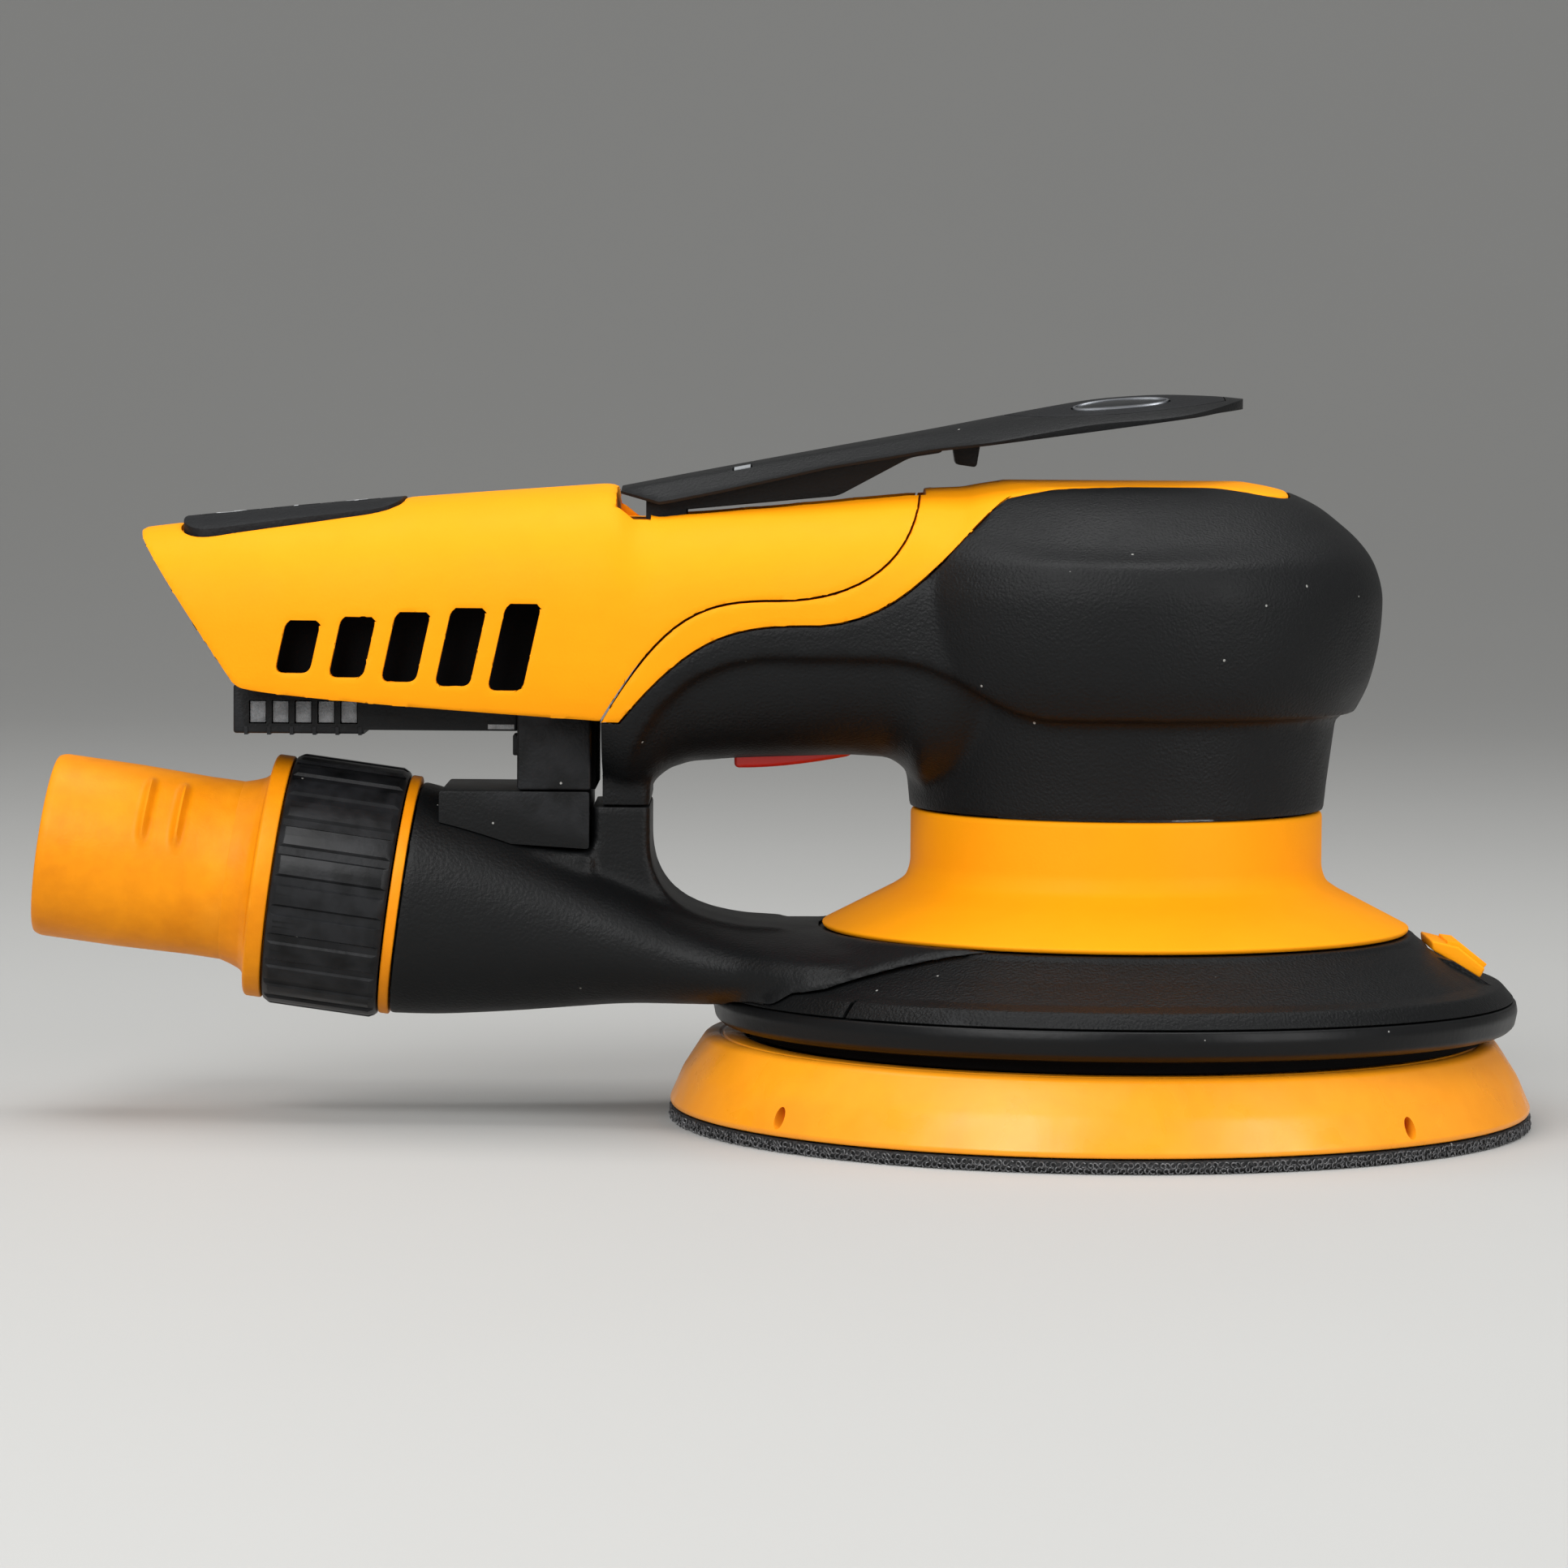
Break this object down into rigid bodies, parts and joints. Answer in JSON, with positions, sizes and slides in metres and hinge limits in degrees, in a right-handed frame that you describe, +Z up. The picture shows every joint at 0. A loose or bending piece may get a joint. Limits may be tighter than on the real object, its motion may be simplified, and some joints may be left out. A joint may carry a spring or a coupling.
{
  "type": "orbital sander",
  "caption": "Random-orbital palm sander with a round hook-faced pad, dust shroud, finger loop, top paddle lever and a swivelling rear dust spigot.",
  "frame": {"origin": "on the motor's axis, level with the hook face of the pad", "axes": "+Z up along the motor's axis, +X from the hose spigot towards the head, +Y to the left of the tool"},
  "size_m": [0.2611, 0.15, 0.1264],
  "materials": {
    "yellow_plastic": "fine matte texture",
    "pad_yellow": "satin moulded foam skin",
    "black_plastic": "fine matte texture",
    "gloss_black": "semi-gloss moulded",
    "black_rubber": "leathery soft-touch grain",
    "hook_fabric": "dense hook and loop",
    "red_plastic": "moulded",
    "grey_fleece": "filter fleece",
    "steel": "ground",
    "badge_metal": "satin rim, dark centre, blank",
    "aluminium": "cast",
    "copper": "enamelled wire",
    "brass": "plain",
    "board_green": "lacquered",
    "lamp_white": "translucent"
  },
  "bodies": {
    "housing": {"rear_cover": "yellow_plastic", "main_housing": "yellow_plastic", "rubber_grip": "black_rubber", "motor_bell": "yellow_plastic", "dust_shroud": "black_plastic", "edge_ring": "gloss_black", "brake_seal": "black_rubber", "dust_duct": "black_plastic", "duct_saddle": "black_plastic", "duct_bracket": "black_plastic", "bracket_screw": "steel", "port_collar": "yellow_plastic", "filter_frame": "black_plastic", "filter_fleece": "grey_fleece", "control_pad": "black_rubber", "power_inlet": "black_plastic", "inlet_pin_live": "brass", "inlet_pin_neutral": "brass", "controller_board": "board_green", "capacitor": "gloss_black", "heat_sink": "aluminium", "lever_pin": "steel", "lever_spring": "steel", "lever_switch": "black_plastic", "trigger_pin": "steel", "trigger_switch": "black_plastic", "stator_core": "steel", "winding_lower": "copper", "winding_upper": "copper", "motor_cap": "aluminium", "cap_screw_1": "steel", "cap_screw_2": "steel", "cap_screw_3": "steel", "bearing_upper": "steel", "bearing_lower": "steel"},
    "rotor": {"rotor_shaft": "steel", "rotor_core": "steel", "fan_wheel": "gloss_black", "counterweight": "brass", "spindle_bearing": "steel"},
    "pad": {"pad_spindle": "steel", "backing_plate": "black_plastic", "pad_bolt": "steel", "pad_foam": "pad_yellow", "hook_face": "hook_fabric"},
    "lever": {"lever": "black_plastic", "lever_inlay": "black_rubber", "lever_badge_right": "badge_metal", "lever_badge_left": "badge_metal", "led_window": "lamp_white"},
    "trigger": {"trigger": "red_plastic"},
    "spigot": {"hose_spigot": "yellow_plastic"},
    "lock_ring": {"lock_ring": "gloss_black"},
    "ring_latch": {"ring_latch": "yellow_plastic"},
    "power_key": {"power_key": "black_rubber"},
    "minus_key": {"minus_key": "black_rubber"},
    "plus_key": {"plus_key": "black_rubber"}
  },
  "joints": [
    {"name": "motor_spin", "type": "hinge", "parent": "housing", "child": "rotor", "pos_m": [0, 0, 0.06], "axis": [0, 0, 1], "continuous": true},
    {"name": "pad_spin", "type": "hinge", "parent": "rotor", "child": "pad", "pos_m": [-0.0025, 0, 0.03], "axis": [0, 0, 1], "continuous": true},
    {"name": "lever_press", "type": "hinge", "parent": "housing", "child": "lever", "pos_m": [-0.079, 0, 0.099], "axis": [0, 1, 0], "range_deg": [0, 5.5], "stiffness_Nm_per_rad": 0.25, "springref_deg": -20.05},
    {"name": "trigger_pull", "type": "hinge", "parent": "housing", "child": "trigger", "pos_m": [-0.047, 0, 0.069], "axis": [0, 1, 0], "range_deg": [0, 5], "stiffness_Nm_per_rad": 0.02, "springref_deg": -28.65},
    {"name": "spigot_swivel", "type": "hinge", "parent": "housing", "child": "spigot", "pos_m": [-0.1235, 0, 0.0382], "axis": [-0.9907, 0, 0.1364], "continuous": true},
    {"name": "lock_ring_turn", "type": "hinge", "parent": "housing", "child": "lock_ring", "pos_m": [-0.1235, 0, 0.0382], "axis": [-0.9907, 0, 0.1364], "range_deg": [0, 40]},
    {"name": "latch_slide", "type": "slide", "parent": "housing", "child": "ring_latch", "axis": [0, 1, 0], "range_m": [0, 0.004]},
    {"name": "power_key_press", "type": "slide", "parent": "housing", "child": "power_key", "axis": [0.0655, 0, -0.9979], "range_m": [0, 0.0006], "stiffness_N_per_m": 200, "springref_m": -0.001},
    {"name": "minus_key_press", "type": "slide", "parent": "housing", "child": "minus_key", "axis": [0.0655, 0, -0.9979], "range_m": [0, 0.0006], "stiffness_N_per_m": 200, "springref_m": -0.001},
    {"name": "plus_key_press", "type": "slide", "parent": "housing", "child": "plus_key", "axis": [0.0655, 0, -0.9979], "range_m": [0, 0.0006], "stiffness_N_per_m": 200, "springref_m": -0.001}
  ]
}
